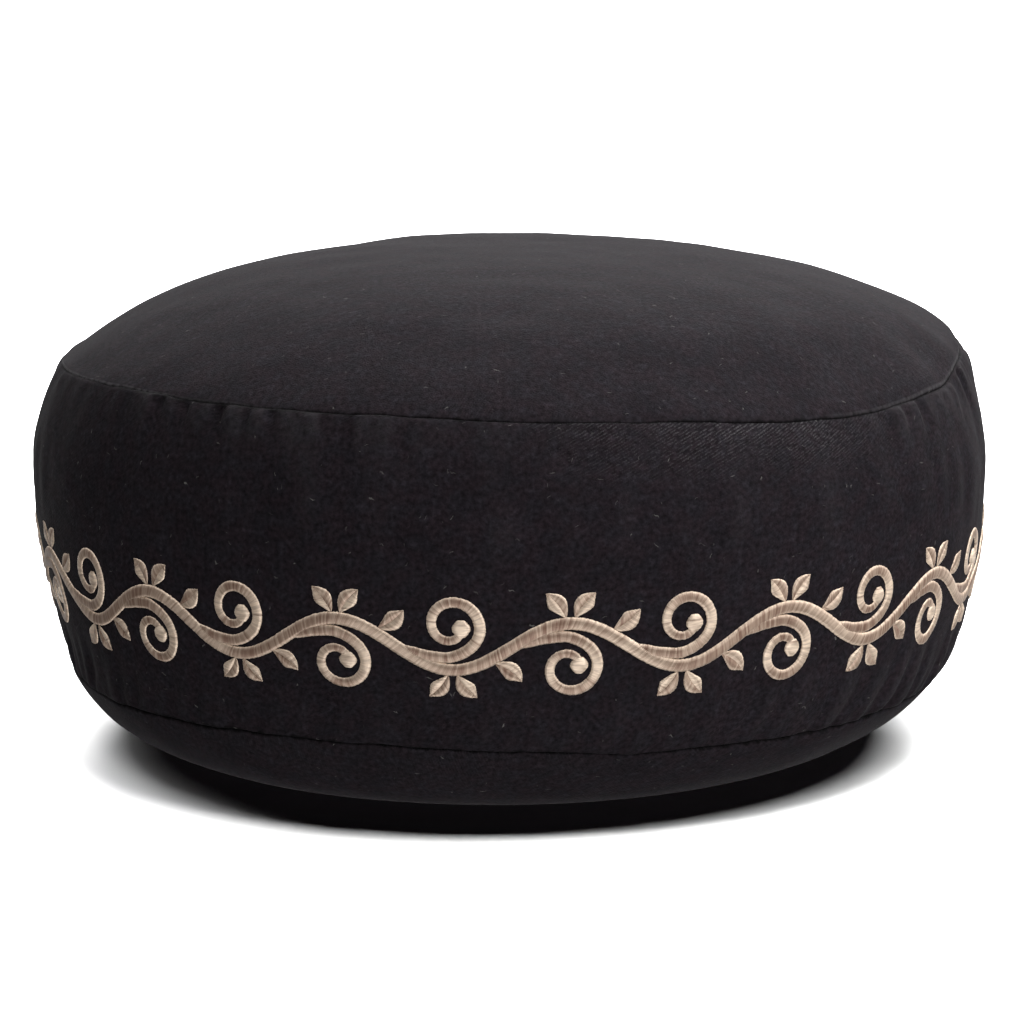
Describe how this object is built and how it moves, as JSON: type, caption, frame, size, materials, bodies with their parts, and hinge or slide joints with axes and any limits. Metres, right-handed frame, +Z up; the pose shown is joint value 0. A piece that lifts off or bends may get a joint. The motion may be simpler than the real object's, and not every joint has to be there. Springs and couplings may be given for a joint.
{
  "type": "zafu meditation cushion",
  "caption": "Round filled floor cushion in black twill: crowned top, bulging side strip, plain seams with small gathers, flat where it rests.",
  "frame": {"origin": "on the surface it stands on, under the middle of its box", "axes": "+Z up through the crown, -Y towards the front, +X towards the right-hand side seen from the front"},
  "size_m": [0.3294, 0.3294, 0.1683],
  "materials": {
    "black_twill": "matt black cotton twill",
    "champagne_thread": "satin embroidery thread, champagne"
  },
  "bodies": {
    "root": {"cushion": "black_twill"}
  },
  "joints": []
}
